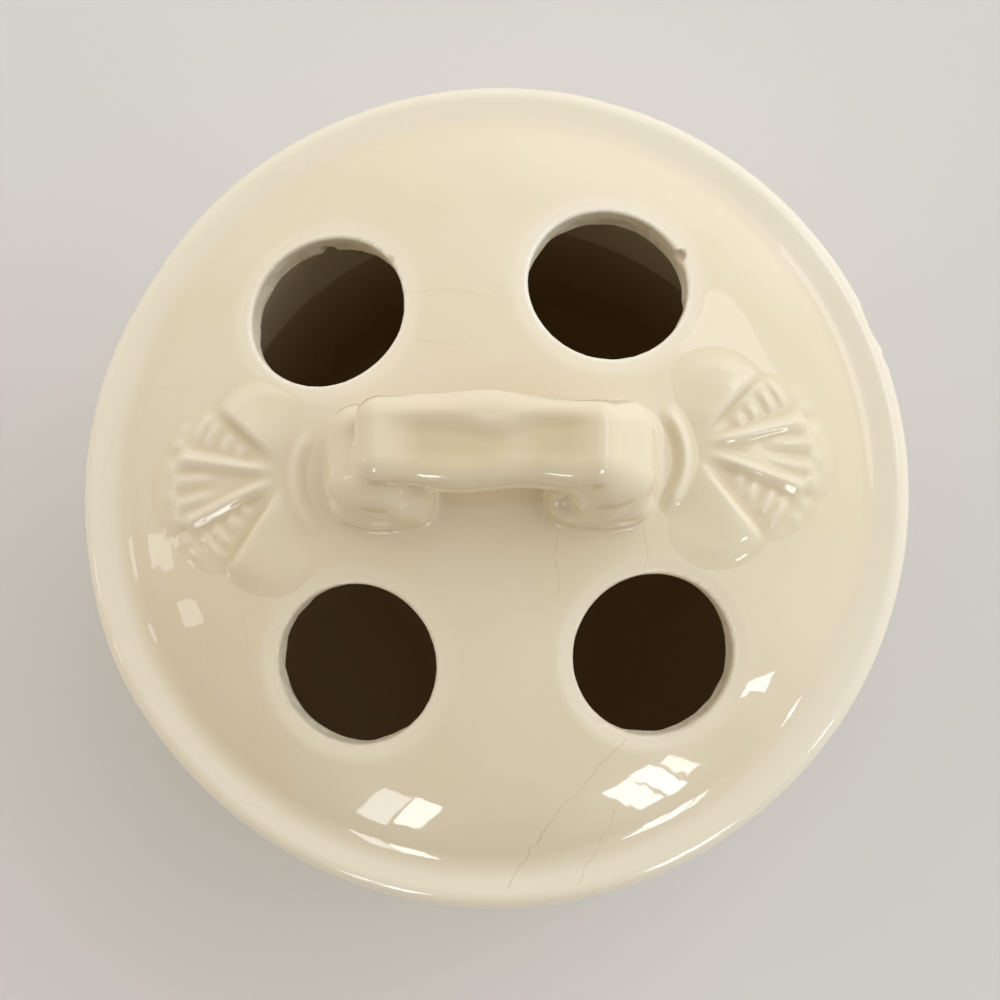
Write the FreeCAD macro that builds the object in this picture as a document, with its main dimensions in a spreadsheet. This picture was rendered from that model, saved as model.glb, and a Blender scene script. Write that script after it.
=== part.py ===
"""Round ceramic toothbrush holder: a jar, and a pierced domed lid with a strap handle between two shells."""
import FreeCAD, Part
import math
import os
import re

import Sketcher

# Edges are matched to a size when they differ from it by less than this share.
EDGE_MATCH_SHARE = 0.001
# The upper edge of a hole lies above this share of the wall.
UPPER_WALL_SHARE = 0.75

# Sizes in millimetres, angles in degrees. A name that ends in share is a part of the size that it follows.
SIZES = {
    # The lid's radius drives the widths of the jar and of all that sits on the lid.
    "lid_radius": 52.5,
    "lid_overhang": 1.7,
    # Jar: straight side that leans in a little, round heel, turned foot ring.
    "jar_height": 90.0,
    "side_lean": 1.2,
    "heel_height": 20.0,
    "jar_wall": 5.0,
    "mouth_wall": 5.4,
    "mouth_round": 1.3,
    "foot_inset": 10.8,
    "foot_width": 4.0,
    "foot_height": 3.0,
    "foot_recess": 2.4,
    "foot_round": 0.8,
    "floor_wall": 4.6,
    # Lid: dome that bends down to a hollow cove, flat lip and rounded rim, with a collar below.
    "dome_radius": 122.0,
    "crown_share": 0.676,
    "cove_radius": 5.4,
    "cove_slope": 36.0,
    "brim_width": 3.8,
    "lip_thickness": 4.6,
    "rim_round": 2.2,
    "rim_ease": 1.2,
    "lid_wall": 3.6,
    "collar_clearance": 0.8,
    "collar_wall": 4.0,
    "collar_depth": 13.0,
    "collar_round": 1.0,
    # Brush holes: cut square to the dome, each placed by hand and so a little uneven.
    "hole_radius": 9.5,
    "hole_round": 0.7,
    "hole_overrun": 3.0,
    "back_left_share": 0.554,
    "back_left_angle": 133.3,
    "back_right_share": 0.536,
    "back_right_angle": 58.9,
    "front_left_share": 0.524,
    "front_left_angle": 234.2,
    "front_right_share": 0.552,
    "front_right_angle": 313.0,
    # Handle: a dished bar on two legs that curl inward under it and spread into toes on the dome.
    "bar_rise": 12.4,
    "bar_thickness": 5.6,
    "handle_depth": 11.4,
    "handle_setback": 1.7,
    "handle_share": 0.37,
    "corner_radius": 6.8,
    "leg_thickness": 4.8,
    "curl_radius": 3.5,
    "curl_lift": 0.7,
    "notch_round": 1.0,
    "notch_over": 3.5,
    "under_round": 1.6,
    "handle_round": 2.2,
    "handle_root": 6.0,
    "dish_share": 0.54,
    "dish_half_width": 2.8,
    "dish_depth": 0.8,
    "dish_lift": 2.0,
    "dish_forward": 0.3,
    "toe_reach": 6.6,
    "toe_out": 0.5,
    "toe_half_depth": 7.2,
    "toe_height": 3.4,
    "toe_sink": 0.8,
    "toe_forward": 1.2,
    # Shells: a fan of five parts behind a raised band, moulded and laid on the dome.
    "shell_share": 0.45,
    "fan_share": 0.333,
    "fan_relief": 1.5,
    "fan_root": 6.0,
    "fan_half_root": 4.2,
    "inner_rib_angle": 17.0,
    "outer_rib_angle": 48.0,
    "fan_edge_angle": 95.0,
    "inner_tip_share": 0.93,
    "outer_tip_share": 0.76,
    "edge_tip_share": 0.61,
    "scallop_share": 0.62,
    "flute_depth": 0.75,
    "flute_angle": 30.0,
    "band_radius": 8.2,
    "band_rise": 1.3,
    "band_sweep": 84.0,
    "left_shell_turn": 186.5,
    "left_shell_shift": -3.7,
    "right_shell_turn": -1.0,
    "right_shell_shift": 4.0,
}

# Sizes that follow from the others. Heights of the lid's pieces are above the seat on the jar's mouth.
FORMULAS = {
    "side_radius": "lid_radius - lid_overhang",
    "mouth_radius": "side_radius - side_lean",
    "mouth_bore": "mouth_radius - mouth_wall",
    "foot_radius": "side_radius - foot_inset",
    "foot_bore": "foot_radius - foot_width",
    "floor_top": "foot_recess + floor_wall",
    "side_bore": "side_radius - jar_wall",
    "heel_bore": "heel_height - floor_top",
    "heel_climb": "heel_height - foot_height",
    "heel_sweep": "(foot_inset ^ 2 + heel_climb ^ 2) / (2 * foot_inset)",
    "mouth_bottom": "jar_height - mouth_round",
    "side_climb": "mouth_bottom - heel_height",
    "side_sweep": "(side_lean ^ 2 + side_climb ^ 2) / (2 * side_lean)",
    "crown_radius": "lid_radius * crown_share",
    "crown_slope": "asin(crown_radius / dome_radius)",
    "lip_radius": "lid_radius - brim_width",
    "bend_edge": "lip_radius - cove_radius * sin(cove_slope)",
    "bend_radius": "(bend_edge - crown_radius) / (sin(cove_slope) - sin(crown_slope))",
    "cove_rise": "lip_thickness + cove_radius * (1 - cos(cove_slope))",
    "crown_rise": "cove_rise + bend_radius * (cos(crown_slope) - cos(cove_slope))",
    "lid_rise": "crown_rise + dome_radius * (1 - cos(crown_slope))",
    "dome_centre": "lid_rise - dome_radius",
    "under_radius": "dome_radius - lid_wall",
    "collar_radius": "mouth_bore - collar_clearance",
    "collar_bore": "collar_radius - collar_wall",
    "collar_outer_top": "dome_centre + sqrt(under_radius ^ 2 - collar_radius ^ 2)",
    "collar_inner_top": "dome_centre + sqrt(under_radius ^ 2 - collar_bore ^ 2)",
    "bar_top": "lid_rise + bar_rise",
    "bar_under": "bar_top - bar_thickness",
    "handle_reach": "lid_radius * handle_share",
    "leg_inside": "handle_reach - leg_thickness",
    "handle_foot": "lid_rise - handle_root",
    "notch_across": "leg_inside - notch_round",
    "notch_span": "curl_radius + notch_round",
    "curl_across": "notch_across - notch_over",
    "curl_height": "lid_rise + curl_lift",
    "arch_half_width": "curl_across - curl_radius",
    "notch_up": "sqrt(notch_span ^ 2 - notch_over ^ 2)",
    "dish_radius": "dish_lift + dish_depth",
    "dish_spread": "sqrt(1 - (dish_lift / dish_radius) ^ 2)",
    "toe_across": "handle_reach + toe_out - toe_reach",
    "shell_root": "lid_radius * shell_share",
    "fan_reach": "lid_radius * fan_share",
    "fan_top": "lid_rise + fan_relief + fan_root",
    "inner_tip": "fan_reach * inner_tip_share",
    "outer_tip": "fan_reach * outer_tip_share",
    "edge_tip": "fan_reach * edge_tip_share",
    "flute_turn": "(inner_rib_angle + outer_rib_angle) / 2",
}


def spell(formula):
    """Write a formula out in the names of the sheet's cells."""
    def word(found):
        name = found.group()
        if name in SIZES:
            return f"dims.{name}"
        if name in FORMULAS:
            return f"({spell(FORMULAS[name])})"
        return name
    return re.sub(r"[a-z]\w*", word, formula)


def value(formula):
    """The number that a formula comes to."""
    result = sheet.evalExpression(spell(formula))
    return float(getattr(result, "Value", result))


def bind(feature, **formulas):
    """Tie properties of a feature to the sheet."""
    for name, formula in formulas.items():
        feature.setExpression(name, spell(formula))


def new_body(label, height="0", turn="0"):
    """A body of its own, at a height above the foot and turned about the upright axis."""
    body = doc.addObject("PartDesign::Body", label)
    body.Label = label
    place = f"placement(vector(0; 0; {height}); rotation(vector(0; 0; 1); {turn}))"
    bind(body, Placement=place)
    return body


def draw(body, name, plane, corners, lift="0"):
    """A closed outline on a plane of the body, or lifted off it.

    A corner is (across, up), or (across, up, turn, radius) where an arc leads on from it. The turn is left
    or right, as seen along the outline.
    """
    sketch = body.newObject("Sketcher::SketchObject", name)
    support = [feature for feature in body.Origin.OriginFeatures if feature.Role == plane]
    sketch.AttachmentSupport = [(support[0], "")]
    sketch.MapMode = "FlatFace"
    bind(sketch, AttachmentOffset=f"placement(vector(0; 0; {lift}); rotation(vector(0; 0; 1); 0))")
    points = [FreeCAD.Vector(value(corner[0]), value(corner[1]), 0) for corner in corners]
    ends = []
    for index, corner in enumerate(corners):
        start, stop = points[index], points[(index + 1) % len(points)]
        if len(corner) == 2:
            sketch.addGeometry(Part.LineSegment(start, stop))
            ends.append((1, 2))
            continue
        left = corner[2] == "left"
        radius = value(corner[3])
        chord = stop - start
        inward = FreeCAD.Vector(-chord.y, chord.x, 0).normalize() * (1 if left else -1)
        centre = start + chord * 0.5 + inward * (radius ** 2 - chord.Length ** 2 / 4) ** 0.5
        circle = Part.Circle(centre, FreeCAD.Vector(0, 0, 1), radius)
        first, last = (start, stop) if left else (stop, start)
        sketch.addGeometry(Part.ArcOfCircle(circle, circle.parameter(first), circle.parameter(last)))
        ends.append((1, 2) if left else (2, 1))
    for index, corner in enumerate(corners):
        following = (index + 1) % len(corners)
        sketch.addConstraint(Sketcher.Constraint("Coincident", index, ends[index][1],
                                                 following, ends[following][0]))
        for kind, formula in (("DistanceX", corner[0]), ("DistanceY", corner[1])):
            distance = Sketcher.Constraint(kind, -1, 1, index, ends[index][0], value(formula))
            dimension(sketch, f"{kind}_{index}", distance, formula)
        if len(corner) > 2:
            radius = Sketcher.Constraint("Radius", index, value(corner[3]))
            dimension(sketch, f"Radius_{index}", radius, corner[3])
    return sketch


def dimension(sketch, name, constraint, formula):
    """Add a named dimension to a sketch and tie it to the sheet."""
    index = sketch.addConstraint(constraint)
    sketch.renameConstraint(index, name)
    bind(sketch, **{f"Constraints.{name}": formula})


def spin(body, kind, name, corners):
    """Turn an outline about the upright axis, as a Revolution that adds or a Groove that cuts."""
    sketch = draw(body, f"{name}_outline", "XZ_Plane", corners)
    feature = body.newObject(f"PartDesign::{kind}", name)
    feature.Profile = sketch
    feature.ReferenceAxis = (sketch, ["V_Axis"])
    feature.Angle = 360
    doc.recompute()
    return feature


def round_edges(body, name, base, wanted, radius):
    """Round the edges of a feature that the test picks out."""
    picked = [f"Edge{number}" for number, edge in enumerate(base.Shape.Edges, 1) if wanted(edge)]
    fillet = body.newObject("PartDesign::Fillet", name)
    fillet.Base = (base, picked)
    bind(fillet, Radius=radius)
    doc.recompute()
    return fillet


def make_jar():
    body = new_body("jar")
    spin(body, "Revolution", "pot", [
        ("foot_bore", "0"),
        ("foot_radius - foot_round", "0", "left", "foot_round"),
        ("foot_radius", "foot_round"),
        ("foot_radius", "foot_height", "left", "heel_sweep"),
        ("side_radius", "heel_height", "left", "side_sweep"),
        ("mouth_radius", "mouth_bottom", "left", "mouth_round"),
        ("mouth_radius - mouth_round", "jar_height"),
        ("mouth_bore + mouth_round", "jar_height", "left", "mouth_round"),
        ("mouth_bore", "mouth_bottom"),
        ("side_bore", "heel_height", "right", "heel_bore"),
        ("side_bore - heel_bore", "floor_top"),
        ("0", "floor_top"),
        ("0", "foot_recess"),
        ("foot_bore", "foot_recess"),
    ])
    return body


def make_lid_cover():
    body = new_body("lid_cover", "jar_height")
    spin(body, "Revolution", "cover", [
        ("collar_radius", "0"),
        ("lid_radius - rim_ease", "0", "left", "rim_ease"),
        ("lid_radius", "rim_ease"),
        ("lid_radius", "lip_thickness - rim_round", "left", "rim_round"),
        ("lid_radius - rim_round", "lip_thickness"),
        ("lip_radius", "lip_thickness", "right", "cove_radius"),
        ("bend_edge", "cove_rise", "left", "bend_radius"),
        ("crown_radius", "crown_rise", "left", "dome_radius"),
        ("0", "lid_rise"),
        ("0", "lid_rise - lid_wall", "right", "under_radius"),
        ("collar_radius", "collar_outer_top"),
    ])
    holes = [cut_hole(body, place) for place in ("back_left", "back_right", "front_left", "front_right")]
    radius = value("hole_radius")
    upper = value("hole_overrun") + value("lid_wall") * UPPER_WALL_SHARE

    def upper_hole_edge(edge):
        middle = edge.valueAt((edge.FirstParameter + edge.LastParameter) / 2)
        for hole in holes:
            axis = hole.Placement.Rotation.multVec(FreeCAD.Vector(0, 0, 1))
            away = middle - hole.Placement.Base
            along = away.dot(axis)
            if along > upper and abs((away - axis * along).Length / radius - 1) < EDGE_MATCH_SHARE:
                return True
        return False

    round_edges(body, "hole_lips", holes[-1], upper_hole_edge, "hole_round")
    return body


def cut_hole(body, place):
    """Cut one brush hole through the dome, square to it."""
    hole = body.newObject("PartDesign::SubtractiveCylinder", f"{place}_hole")
    tilt = f"asin(lid_radius * {place}_share / dome_radius)"
    start = "(under_radius - hole_overrun)"
    across = f"{start} * sin({tilt})"
    base = (f"vector({across} * cos({place}_angle); {across} * sin({place}_angle); "
            f"dome_centre + {start} * cos({tilt}))")
    lean = f"rotation(vector(-sin({place}_angle); cos({place}_angle); 0); {tilt})"
    bind(hole, Radius="hole_radius", Height="lid_wall + 2 * hole_overrun",
         Placement=f"placement({base}; {lean})")
    doc.recompute()
    return hole


def make_lid_collar():
    body = new_body("lid_collar", "jar_height")
    spin(body, "Revolution", "ring", [
        ("collar_bore + collar_round", "-collar_depth"),
        ("collar_radius - collar_round", "-collar_depth", "left", "collar_round"),
        ("collar_radius", "collar_round - collar_depth"),
        ("collar_radius", "collar_outer_top", "left", "under_radius"),
        ("collar_bore", "collar_inner_top"),
        ("collar_bore", "collar_round - collar_depth", "left", "collar_round"),
    ])
    return body


def seat_on_dome(body):
    """Cut away what lies below the dome, so that a piece sits on it face to face."""
    return spin(body, "Groove", "seat", [
        ("0", "-fan_root"),
        ("bend_edge", "-fan_root"),
        ("bend_edge", "cove_rise", "left", "bend_radius"),
        ("crown_radius", "crown_rise", "left", "dome_radius"),
        ("0", "lid_rise"),
    ])


def make_strap_handle():
    body = new_body("strap_handle", "jar_height")
    notch_share = "curl_radius / notch_span"
    right_half = [
        ("arch_half_width", "handle_foot"),
        ("handle_reach", "handle_foot"),
        ("handle_reach", "bar_top - corner_radius", "left", "corner_radius"),
        ("handle_reach - corner_radius", "bar_top"),
    ]
    inside = [
        ("leg_inside - under_round", "bar_under", "right", "under_round"),
        ("leg_inside", "bar_under - under_round"),
        ("leg_inside", "curl_height + notch_up", "right", "notch_round"),
        (f"curl_across + notch_over * {notch_share}", f"curl_height + notch_up * {notch_share}",
         "left", "curl_radius"),
        ("arch_half_width", "curl_height"),
    ]
    outline = right_half + mirrored(right_half) + mirrored(inside) + inside
    sketch = draw(body, "strap_outline", "XZ_Plane", outline, "-handle_setback")
    strap = body.newObject("PartDesign::Pad", "strap")
    strap.Profile = sketch
    strap.SideType = "Symmetric"
    bind(strap, Length="handle_depth")
    doc.recompute()
    face, middle = value("handle_depth / 2"), value("handle_setback")

    def on_a_face(edge):
        return abs(abs(edge.CenterOfMass.y - middle) / face - 1) < EDGE_MATCH_SHARE

    round_edges(body, "soft_edges", strap, on_a_face, "handle_round")
    egg(body, "Subtractive", "dish", ("0", "handle_setback - dish_forward", "bar_top + dish_lift"),
        ("handle_reach * dish_share / dish_spread", "dish_half_width / dish_spread", "dish_radius"))
    for across in ("-toe_across", "toe_across"):
        egg(body, "Additive", "toe", (across, "handle_setback - toe_forward", "lid_rise - toe_sink"),
            ("toe_reach", "toe_half_depth", "toe_height"))
    seat_on_dome(body)
    return body


def egg(body, kind, name, centre, radii):
    """Add or take away an egg shape, given by its centre and its three half sizes."""
    shape = body.newObject(f"PartDesign::{kind}Ellipsoid", name)
    bind(shape, Radius1=radii[2], Radius2=radii[0], Radius3=radii[1],
         Placement=f"placement(vector({'; '.join(centre)}); rotation(vector(0; 0; 1); 0))")
    doc.recompute()
    return shape


def mirrored(corners):
    """The same run of corners on the other side of the upright axis, followed the other way."""
    arcs = [corner[2:] for corner in corners]
    flipped = []
    for index in range(len(corners) - 1, -1, -1):
        across, up = corners[index][:2]
        arc = arcs[index - 1] if index else ()
        flipped.append((f"-({across})", up) + arc)
    return flipped


def make_shell(label):
    body = new_body(label, "jar_height", f"{label}_turn")
    shift = f"{label}_shift"
    tips = [
        ("edge_tip", "fan_edge_angle"),
        ("outer_tip", "outer_rib_angle"),
        ("inner_tip", "inner_rib_angle"),
    ]
    margin = [(reach, f"-{angle}") for reach, angle in tips] + list(reversed(tips))
    points = [(f"shell_root + {reach} * cos({angle})", f"{shift} + {reach} * sin({angle})")
              for reach, angle in margin]
    outline = [("shell_root", f"{shift} + fan_half_root"), ("shell_root", f"{shift} - fan_half_root")]
    for start, stop in zip(points, points[1:]):
        chord = f"sqrt(({stop[0]} - ({start[0]})) ^ 2 + ({stop[1]} - ({start[1]})) ^ 2)"
        outline.append(start + ("left", f"scallop_share * {chord}"))
    outline.append(points[-1])
    fan = body.newObject("PartDesign::Pad", "fan")
    fan.Profile = draw(body, "fan_outline", "XY_Plane", outline)
    bind(fan, Length="fan_top")
    doc.recompute()
    spin(body, "Groove", "crown", [
        ("0", "lid_rise + fan_relief", "right", "dome_radius + fan_relief"),
        ("crown_radius + fan_relief * sin(crown_slope)", "crown_rise + fan_relief * cos(crown_slope)",
         "right", "bend_radius + fan_relief"),
        ("bend_edge + fan_relief * sin(cove_slope)", "cove_rise + fan_relief * cos(cove_slope)"),
        ("bend_edge + fan_relief * sin(cove_slope)", "fan_top + fan_root"),
        ("0", "fan_top + fan_root"),
    ])
    for direction in ("-flute_turn", "0", "flute_turn"):
        cut_flute(body, shift, direction)
    add_band(body, shift)
    seat_on_dome(body)
    return body


def above_dome(across, along, lift):
    """A point above a place in the plan, lifted off the dome or off the bend at its edge."""
    reach, crown = math.hypot(across, along), value("crown_radius")
    if reach < crown:
        centre, height, radius = 0, value("dome_centre"), value("dome_radius")
    else:
        radius = value("bend_radius")
        centre = crown - radius * value("sin(crown_slope)")
        height = value("crown_rise") - radius * value("cos(crown_slope)")
    rise = math.sqrt((radius + lift) ** 2 - (reach - centre) ** 2)
    return FreeCAD.Vector(across, along, height + rise)


def cut_flute(body, shift, direction):
    """Hollow one part of the fan with a cone that touches the shell's root and opens outward."""
    across = value(f"shell_root + fan_reach * cos({direction})")
    along = value(f"{shift} + fan_reach * sin({direction})")
    tip = above_dome(value("shell_root"), value(shift), value("fan_relief"))
    low = above_dome(across, along, value("fan_relief - flute_depth")) - tip
    low.normalize()
    level = FreeCAD.Vector(-low.y, low.x, 0).normalize()
    axis = FreeCAD.Rotation(level, -value("flute_angle")).multVec(low)
    flute = body.newObject("PartDesign::SubtractiveCone", "flute")
    bind(flute, Radius1="0", Radius2="(fan_reach + fan_root) * tan(flute_angle)",
         Height="fan_reach + fan_root")
    flute.Placement = FreeCAD.Placement(tip, FreeCAD.Rotation(FreeCAD.Vector(0, 0, 1), axis))
    doc.recompute()


def add_band(body, shift):
    """Raise a round band about the foot of the handle, with rounded ends."""
    radius = value("band_radius")
    crest = above_dome(value("shell_root"), value(shift), 0)
    lean = FreeCAD.Rotation(FreeCAD.Vector(0, 1, 0), value("asin(shell_root / dome_radius)"))
    centre = crest - lean.multVec(FreeCAD.Vector(radius, 0, 0))
    half = value("band_sweep / 2")
    band = body.newObject("PartDesign::AdditiveTorus", "band")
    bind(band, Radius1="band_radius", Radius2="band_rise", Angle3="band_sweep")
    band.Placement = FreeCAD.Placement(centre, lean * FreeCAD.Rotation(FreeCAD.Vector(0, 0, 1), -half))
    doc.recompute()
    for side in (-half, half):
        end = body.newObject("PartDesign::AdditiveSphere", "band_end")
        bind(end, Radius="band_rise")
        swing = FreeCAD.Rotation(FreeCAD.Vector(0, 0, 1), side)
        end.Placement.Base = centre + lean.multVec(swing.multVec(FreeCAD.Vector(radius, 0, 0)))
        doc.recompute()


doc = FreeCAD.newDocument("toothbrush_holder")
sheet = doc.addObject("Spreadsheet::Sheet", "dims")
for row, (alias, number) in enumerate(SIZES.items(), 1):
    sheet.set(f"A{row}", alias)
    sheet.set(f"B{row}", str(number))
    sheet.setAlias(f"B{row}", alias)
doc.recompute()

pieces = [
    make_jar(),
    make_lid_cover(),
    make_lid_collar(),
    make_strap_handle(),
    make_shell("left_shell"),
    make_shell("right_shell"),
]
doc.recompute()

failed = [thing.Label for thing in doc.Objects if {"Invalid", "Error"} & set(thing.State)]
failed += [piece.Label for piece in pieces if piece.Shape.isNull() or not piece.Shape.isValid()]
if failed:
    raise RuntimeError(f"failed to build: {failed}")

os.makedirs("parts", exist_ok=True)
for piece in pieces:
    piece.Shape.exportStep(f"parts/{piece.Label}.step")
    print(piece.Label, len(piece.Shape.Solids), "solid", round(piece.Shape.Volume), "mm3")
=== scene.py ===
"""Looks of the toothbrush holder: a cream glazed jar and its pierced, domed lid, seen from above."""
import math

import bpy
import numpy as np
from mathutils import Matrix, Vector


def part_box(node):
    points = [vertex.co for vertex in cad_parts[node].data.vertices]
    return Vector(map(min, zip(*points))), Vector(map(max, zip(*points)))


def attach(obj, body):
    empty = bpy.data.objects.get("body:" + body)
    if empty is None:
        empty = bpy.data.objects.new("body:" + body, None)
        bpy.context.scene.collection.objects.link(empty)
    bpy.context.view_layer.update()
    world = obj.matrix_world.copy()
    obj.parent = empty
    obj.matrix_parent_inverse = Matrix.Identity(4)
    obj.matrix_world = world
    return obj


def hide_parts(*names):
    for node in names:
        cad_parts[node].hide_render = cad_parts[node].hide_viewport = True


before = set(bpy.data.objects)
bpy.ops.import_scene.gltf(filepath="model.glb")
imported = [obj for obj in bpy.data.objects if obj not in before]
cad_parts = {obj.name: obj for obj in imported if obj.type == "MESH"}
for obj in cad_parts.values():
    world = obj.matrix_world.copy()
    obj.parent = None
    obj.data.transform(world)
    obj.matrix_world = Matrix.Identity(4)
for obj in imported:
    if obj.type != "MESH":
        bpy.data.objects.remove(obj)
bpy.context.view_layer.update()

MM = 0.001
TINY = 1e-6


def half_width(node_name):
    """Radius of a round piece of the frame, in millimetres to a tenth."""
    _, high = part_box(node_name)
    return round(high.x / MM, 1)


def bottom_and_top(node_name):
    """Lowest and highest place of a piece of the frame, in millimetres to a tenth."""
    low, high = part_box(node_name)
    return round(low.z / MM, 1), round(high.z / MM, 1)


# All sizes below are in millimetres, with heights above the lid's seat on the jar's mouth.
_, SEAT_HEIGHT = bottom_and_top("jar")

# The lid's outline: dome, bend, cove, lip and rim.
LID_RADIUS = half_width("lid_cover")
COLLAR_RADIUS = half_width("lid_collar")
DOME_RADIUS = 122.0
CROWN_RADIUS = 35.49
COVE_RADIUS = 5.4
COVE_SLOPE = math.radians(36.0)
LIP_RADIUS = 48.7
LIP_THICKNESS = 4.6
RIM_ROUND = 2.2
RIM_EASE = 1.2
LID_WALL = 3.6
CROWN_SLOPE = math.asin(CROWN_RADIUS / DOME_RADIUS)
BEND_EDGE = LIP_RADIUS - COVE_RADIUS * math.sin(COVE_SLOPE)
BEND_RADIUS = (BEND_EDGE - CROWN_RADIUS) / (math.sin(COVE_SLOPE) - math.sin(CROWN_SLOPE))
BEND_CENTRE = CROWN_RADIUS - BEND_RADIUS * math.sin(CROWN_SLOPE)
COVE_RISE = LIP_THICKNESS + COVE_RADIUS * (1 - math.cos(COVE_SLOPE))
CROWN_RISE = COVE_RISE + BEND_RADIUS * (math.cos(CROWN_SLOPE) - math.cos(COVE_SLOPE))
LID_RISE = CROWN_RISE + DOME_RADIUS * (1 - math.cos(CROWN_SLOPE))
DOME_CENTRE = LID_RISE - DOME_RADIUS
UNDER_RADIUS = DOME_RADIUS - LID_WALL

# Swell of hand-worked clay: rise, length and seed of each set of waves.
WAVE_SPREAD = (0.7, 1.5)
DOME_SWELLS = [(0.05, 26.0, 3), (0.022, 9.0, 4), (0.005, 4.0, 5)]
RIM_SWELL = (0.10, 1.1, 8)
# Places where the rim stands out or is flattened: rise, angle and spread in degrees.
RIM_BUMPS = [(0.36, 205.0, 11.0), (-0.42, 148.0, 14.0)]

# Brush holes: distance of the centre from the lid's axis, angle, and how far the glazed lip sinks.
HOLES = {
    "back_left": (29.1, 133.3, 0.10),
    "back_right": (28.1, 58.9, 0.10),
    "front_left": (27.5, 234.2, 0.30),
    "front_right": (29.0, 313.0, 0.32),
}
HOLE_RADIUS = 9.75
HOLE_ROUND = 0.45
LIP_WIDTH = 2.3
# The cut wall wanders all the way down and is ragged below the depths given.
WANDER, WANDER_LENGTH = 0.13, 1.6
RAGGED, RAGGED_LENGTH = 0.17, 1.7
RAGGED_TURN = 6.0
RAGGED_DEPTHS = (1.0, 2.4)

# Chips in the rim: angle, depth below the upper edge, half length along the rim, half width, half height.
CHIPS = [
    (23.5, 1.6, 3.4, 0.85, 1.5),
    (18.6, 1.3, 1.2, 0.45, 0.8),
    (73.0, 1.0, 2.6, 0.40, 0.7),
    (66.5, 1.1, 1.3, 0.35, 0.6),
]
CHIP_SWELL = (0.08, 1.8, 21)
# Nicks in the edges of the holes: hole, angle round it, depth below the dome, and radius.
NICKS = [
    ("back_left", 97.0, 3.4, 0.9),
    ("back_left", 38.0, 0.3, 0.6),
    ("back_right", 26.0, 0.7, 0.8),
    ("back_right", 352.0, 2.8, 0.8),
    ("front_left", 262.0, 0.3, 0.6),
    ("front_right", 232.0, 0.3, 0.7),
]
NICK_EASE = 0.25


# Fields: each is below zero inside a piece, and near a surface grows like the distance to it.

def round_max(a, b, radius):
    """Meet of two fields with the outer edge rounded."""
    u, v = np.maximum(radius + a, 0), np.maximum(radius + b, 0)
    return np.minimum(-radius, np.maximum(a, b)) + np.hypot(u, v)


def round_min(a, b, radius):
    """Join of two fields with a fillet between them."""
    return -round_max(-a, -b, radius)


def soft_min(a, b, width):
    """Join of two fields that runs out without a line, across a width."""
    near = np.maximum(width - np.abs(a - b), 0) / width
    return np.minimum(a, b) - near ** 3 * width / 6


def smooth_step(low, high, value):
    share = np.clip((value - low) / (high - low), 0, 1)
    return share * share * (3 - 2 * share)


def bump(value, centre, width):
    return np.exp(-((value - centre) / width) ** 2)


def waves(points, length, seed, count=6):
    """Slow uneven swell: a sum of waves of about one length, between -1 and 1."""
    dice = np.random.default_rng(seed)
    total = 0
    for _ in range(count):
        way = dice.normal(size=len(points))
        way *= 2 * math.pi / (length * dice.uniform(*WAVE_SPREAD) * np.linalg.norm(way))
        total = total + np.sin(sum(k * p for k, p in zip(way, points)) + dice.uniform(0, 2 * math.pi))
    return total / count


def swell(points, sizes):
    """Waves of a given rise, length and seed."""
    rise, length, seed = sizes
    return rise * waves(points, length, seed)


def box_field(x, y, z, half, radius):
    """Rounded box about the origin."""
    q = [np.abs(p) - h + radius for p, h in zip((x, y, z), half)]
    outside = np.sqrt(sum(np.maximum(p, 0) ** 2 for p in q))
    return outside + np.minimum(np.maximum(np.maximum(q[0], q[1]), q[2]), 0) - radius


def lobe_field(s, v, w, lobe):
    """A rounded lump, squarer than an egg."""
    away, back, up, half, power = lobe
    shares = [np.abs(p / h) + TINY for p, h in zip((s - away, v - back, w - up), half)]
    reach = sum(share ** power for share in shares) ** (1 / power)
    slopes = [share ** (power - 1) / h for share, h in zip(shares, half)]
    steep = np.sqrt(sum(slope ** 2 for slope in slopes)) * reach ** (1 - power)
    return (reach - 1) / steep


# Lid.

def dome_height(r):
    """Height of the lid's plain outline at a distance from its axis, the lip carried on flat."""
    bend_height = CROWN_RISE - BEND_RADIUS * math.cos(CROWN_SLOPE)
    crown = DOME_CENTRE + np.sqrt(np.maximum(DOME_RADIUS ** 2 - r ** 2, 0))
    bend = bend_height + np.sqrt(np.maximum(BEND_RADIUS ** 2 - (r - BEND_CENTRE) ** 2, 0))
    cove = LIP_THICKNESS + COVE_RADIUS - np.sqrt(np.maximum(COVE_RADIUS ** 2 - (LIP_RADIUS - r) ** 2, 0))
    return np.select([r < CROWN_RADIUS, r < BEND_EDGE, r < LIP_RADIUS], [crown, bend, cove], LIP_THICKNESS)


def dome_lean(r):
    """Cosine of the outline's slope."""
    slope = np.select([r < CROWN_RADIUS, r < BEND_EDGE, r < LIP_RADIUS],
                      [r / DOME_RADIUS, (r - BEND_CENTRE) / BEND_RADIUS, (LIP_RADIUS - r) / COVE_RADIUS], 0)
    return np.sqrt(1 - slope ** 2)


def hole_frames():
    """For each hole: a point on its axis at the dome, the axis, and two directions across it."""
    frames = {}
    for name, (pitch, angle, _) in HOLES.items():
        tilt, turn = math.asin(pitch / DOME_RADIUS), math.radians(angle)
        level, steep = math.cos(tilt), math.sin(tilt)
        axis = np.array([steep * math.cos(turn), steep * math.sin(turn), level])
        outward = np.array([level * math.cos(turn), level * math.sin(turn), -steep])
        middle = np.array([0, 0, DOME_CENTRE]) + DOME_RADIUS * axis
        frames[name] = (middle, axis, outward, np.cross(axis, outward))
    return frames


HOLE_FRAMES = hole_frames()


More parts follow.
